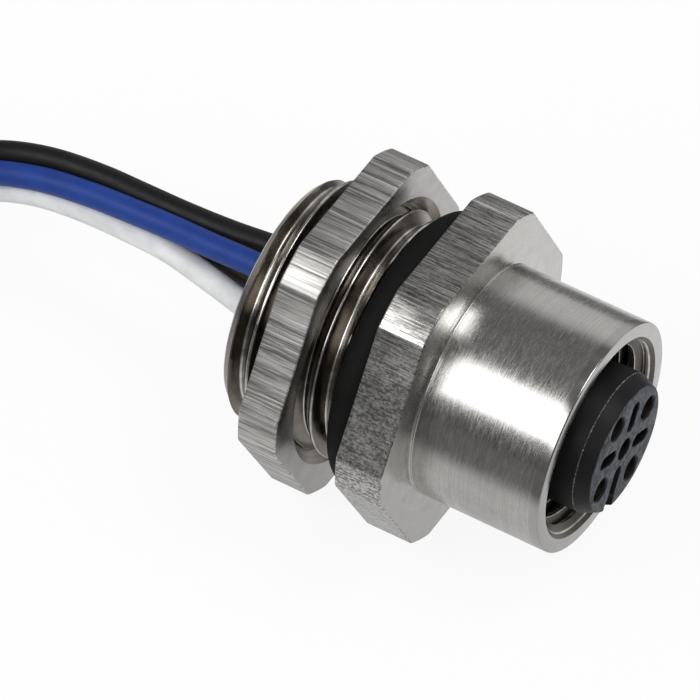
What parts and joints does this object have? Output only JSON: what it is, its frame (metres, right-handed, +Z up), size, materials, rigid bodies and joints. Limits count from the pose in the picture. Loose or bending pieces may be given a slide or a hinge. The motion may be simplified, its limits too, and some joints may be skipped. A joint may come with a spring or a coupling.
{
  "type": "circular panel connector",
  "caption": "Round female panel connector with a hexagonal flange, a seal ring, a hexagonal lock nut on the rear thread and single-wire leads.",
  "frame": {"origin": "on the axis, in the plane of the flange's seal face, where the face of the panel lies", "axes": "+X along the axis towards the mating face, +Z up with the part lying on a flat of each hexagon"},
  "size_m": [0.0791, 0.0337, 0.0191],
  "materials": {
    "nickel_plated_brass": "nickel plated over brass, turned satin, hexagon flats drawn",
    "black_rubber": "matte moulded rubber",
    "black_plastic": "moulded plastic, slightly glossy face",
    "black_resin": "cast resin with a soft gloss",
    "gold_plated_contact": "gold plated, turned",
    "brown_insulation": "smooth satin insulation",
    "white_insulation": "smooth satin insulation",
    "blue_insulation": "smooth satin insulation",
    "black_insulation": "smooth satin insulation",
    "coiled_wires": "four smooth wires in a coil",
    "tinned_copper": "tinned strands",
    "tie_plastic": "moulded plastic"
  },
  "bodies": {
    "connector": {"housing": "nickel_plated_brass", "seal_ring": "black_rubber", "contact_insert": "black_plastic", "insert_seal": "black_rubber", "socket_contact_1": "gold_plated_contact", "socket_contact_2": "gold_plated_contact", "socket_contact_3": "gold_plated_contact", "socket_contact_4": "gold_plated_contact", "potting": "black_resin", "wire_brown": "brown_insulation", "wire_white": "white_insulation", "wire_blue": "blue_insulation", "wire_black": "black_insulation", "wire_tip_1": "tinned_copper", "wire_tip_2": "tinned_copper", "wire_tip_3": "tinned_copper", "wire_tip_4": "tinned_copper", "wire_coil": "coiled_wires", "coil_tie": "tie_plastic"},
    "nut": {"lock_nut": "nickel_plated_brass"}
  },
  "joints": [
    {"name": "lock_nut_travel", "type": "slide", "parent": "connector", "child": "nut", "axis": [1, 0, 0], "range_m": [-0.00564, 0.00141]}
  ]
}
